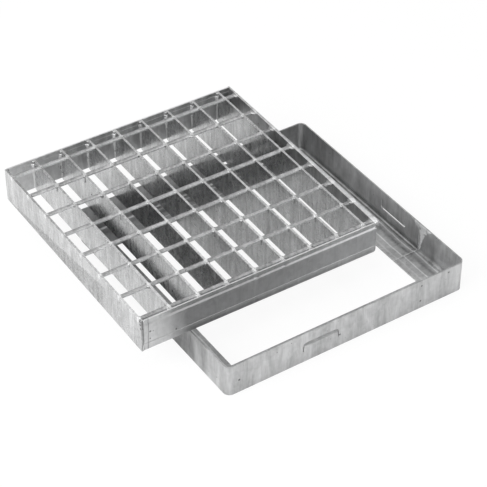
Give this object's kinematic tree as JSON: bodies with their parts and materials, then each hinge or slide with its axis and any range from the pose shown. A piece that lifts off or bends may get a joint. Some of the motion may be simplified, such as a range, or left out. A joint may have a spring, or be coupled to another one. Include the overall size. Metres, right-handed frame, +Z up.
{
  "type": "steel grating panel with seating frame",
  "caption": "Square galvanised steel grating panel, full-depth bearing bars and nearly round cross bars in edge bands, lying askew on its rounded-corner angle frame with wall anchors.",
  "frame": {"origin": "middle of the seating frame's clear opening, on the plane of the frame's underside", "axes": "+Z up, +X along the frame's front side to the right, +Y from the front side to the back"},
  "size_m": [0.7124, 0.724, 0.156],
  "materials": {
    "galvanised_bars": "hot-dip galvanised, dull",
    "galvanised_bands": "hot-dip galvanised, dull",
    "galvanised_frame": "hot-dip galvanised, dull"
  },
  "bodies": {
    "root": {"bar_grid": "galvanised_bars", "front_band": "galvanised_bands", "back_band": "galvanised_bands", "right_edge_bar": "galvanised_bands", "seating_frame": "galvanised_frame"}
  },
  "joints": []
}
